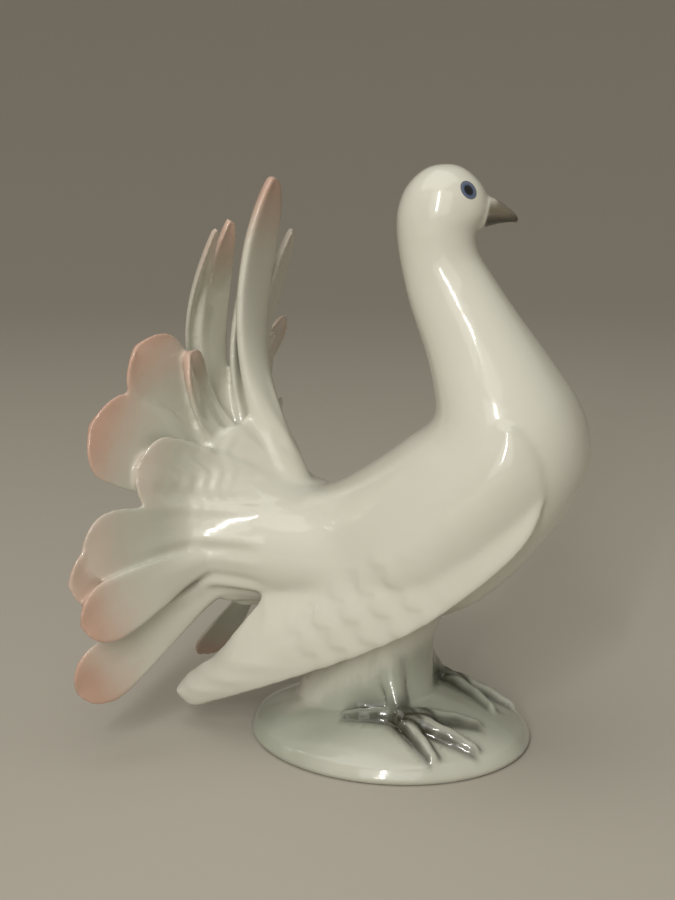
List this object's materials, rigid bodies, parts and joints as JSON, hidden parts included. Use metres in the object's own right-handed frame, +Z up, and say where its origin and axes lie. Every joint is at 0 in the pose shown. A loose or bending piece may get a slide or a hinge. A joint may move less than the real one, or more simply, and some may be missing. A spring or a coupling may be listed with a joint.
{
  "type": "dove statue",
  "caption": "Glazed porcelain fantail dove, cast in one piece with its low domed oval base, standing with a tall curved neck and a raised fan tail; a shelf ornament.",
  "frame": {"origin": "middle of the base's flat underside", "axes": "+X the way the dove faces, +Y its left side, +Z up, the figure's tallest direction"},
  "size_m": [0.1279, 0.1222, 0.163],
  "materials": {
    "porcelain": "gloss"
  },
  "bodies": {
    "root": {"fantail_dove": "porcelain"}
  },
  "joints": []
}
